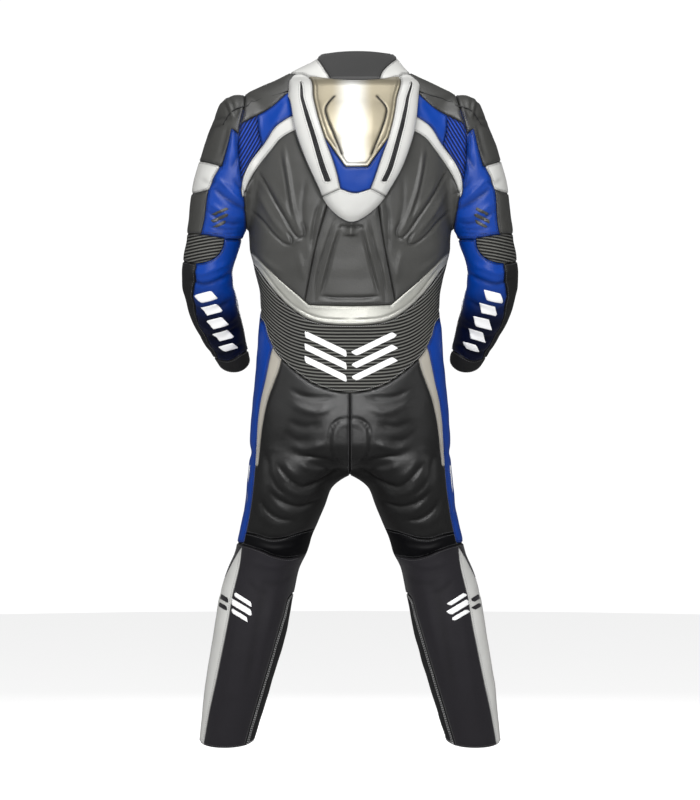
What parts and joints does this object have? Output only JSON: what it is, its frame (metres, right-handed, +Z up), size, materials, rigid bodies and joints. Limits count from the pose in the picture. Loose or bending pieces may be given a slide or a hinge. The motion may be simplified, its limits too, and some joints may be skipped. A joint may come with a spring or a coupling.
{
  "type": "motorcycle race suit",
  "caption": "One-piece leather motorcycle race suit in its worn form: aerodynamic hump on the back, ribbed stretch panels, curved sleeves, zipped front, open neck, cuffs and hems.",
  "frame": {"origin": "on the middle plane at shoulder height, inside the suit where the wearer's shoulders carry it", "axes": "+Z up the body, the back faces +Y and the front zip -Y, the wearer's left is +X"},
  "size_m": [0.6696, 0.3462, 1.379],
  "materials": {
    "black": "grained black leather",
    "blue": "satin blue leather",
    "silver": "satin silver-white leather",
    "foil": "silver foil-coated leather",
    "steel": "bright plate with a warm reflection",
    "neoprene": "matt neoprene",
    "stretch": "ribbed and woven stretch cloth",
    "bluestretch": "ribbed blue stretch cloth",
    "zip": "woven zip tape with its teeth",
    "metal": "satin metal"
  },
  "bodies": {
    "suit": {"hump_plate": "steel", "hump_insert": "blue", "hump_lip": "silver", "hump_stripe_L": "black", "hump_stripe_R": "black", "hump_band_L": "silver", "hump_band_R": "silver", "scapula_band_L": "silver", "scapula_band_R": "silver", "collar_back": "neoprene", "zip_tape": "zip", "collar_side_L": "silver", "collar_side_R": "silver", "cuff_L": "black", "cuff_R": "black", "arm_band_L": "silver", "arm_band_R": "silver", "shoulder_cap_L": "black", "shoulder_cap_R": "black", "arm_outer_L": "black", "arm_outer_R": "black", "elbow_stretch_L": "stretch", "elbow_stretch_R": "stretch", "forearm_outer_L": "black", "forearm_outer_R": "black", "forearm_L": "blue", "forearm_R": "blue", "sleeve_upper_L": "blue", "sleeve_upper_R": "blue", "shoulder_L": "black", "shoulder_R": "black", "shoulder_stretch_L": "bluestretch", "shoulder_stretch_R": "bluestretch", "yoke_L": "blue", "yoke_R": "blue", "waist_band": "foil", "lumbar_stretch": "stretch", "back_centre": "black", "back_side_L": "black", "back_side_R": "black", "side_panel_L": "blue", "side_panel_R": "blue", "side_strip_L": "silver", "side_strip_R": "silver", "seat_L": "black", "seat_R": "black", "knee_back_L": "neoprene", "knee_back_R": "neoprene", "calf_strip_L": "silver", "calf_strip_R": "silver", "calf_inner_L": "black", "calf_inner_R": "black", "calf_L": "stretch", "calf_R": "stretch", "leg_front_L": "black", "leg_front_R": "black", "front_L": "black", "front_R": "black", "zip_slider": "metal"},
    "pull_tab": {"zip_pull": "metal"}
  },
  "joints": [
    {"name": "pull_tab_hinge", "type": "hinge", "parent": "suit", "child": "pull_tab", "pos_m": [0, -0.09054, 0.03668], "axis": [-1, 0, 0], "range_deg": [0, 150]}
  ]
}
